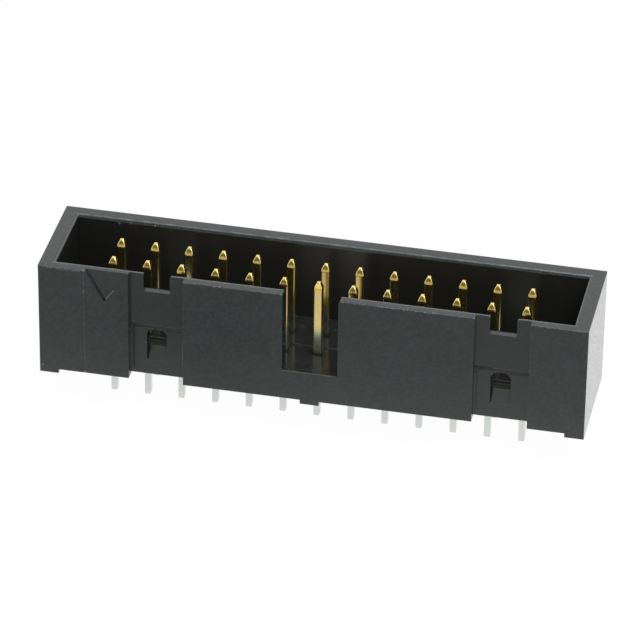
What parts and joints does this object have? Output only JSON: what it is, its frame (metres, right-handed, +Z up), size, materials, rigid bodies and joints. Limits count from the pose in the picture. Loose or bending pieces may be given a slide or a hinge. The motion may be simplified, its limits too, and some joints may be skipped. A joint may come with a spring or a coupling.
{
  "type": "circuit board header",
  "caption": "Vertical shrouded pin header for a circuit board: black keyed box housing around two rows of square contacts with solder tails below.",
  "frame": {"origin": "middle of the contact grid, on the board's top face where the feet stand", "axes": "+X along the contact rows, away from the first contact; -Y towards the keyed wall; +Z up, out of the mating bay"},
  "size_m": [0.0404, 0.0084, 0.0119],
  "materials": {
    "housing_plastic": "satin black moulded thermoplastic",
    "contact_metal": "bright, gold plated on the mating end and tin plated on the tail"
  },
  "bodies": {
    "root": {"housing": "housing_plastic", "pin_01": "contact_metal", "pin_02": "contact_metal", "pin_03": "contact_metal", "pin_04": "contact_metal", "pin_05": "contact_metal", "pin_06": "contact_metal", "pin_07": "contact_metal", "pin_08": "contact_metal", "pin_09": "contact_metal", "pin_10": "contact_metal", "pin_11": "contact_metal", "pin_12": "contact_metal", "pin_13": "contact_metal", "pin_14": "contact_metal", "pin_15": "contact_metal", "pin_16": "contact_metal", "pin_17": "contact_metal", "pin_18": "contact_metal", "pin_19": "contact_metal", "pin_20": "contact_metal", "pin_21": "contact_metal", "pin_22": "contact_metal", "pin_23": "contact_metal", "pin_24": "contact_metal", "pin_25": "contact_metal", "pin_26": "contact_metal"}
  },
  "joints": []
}
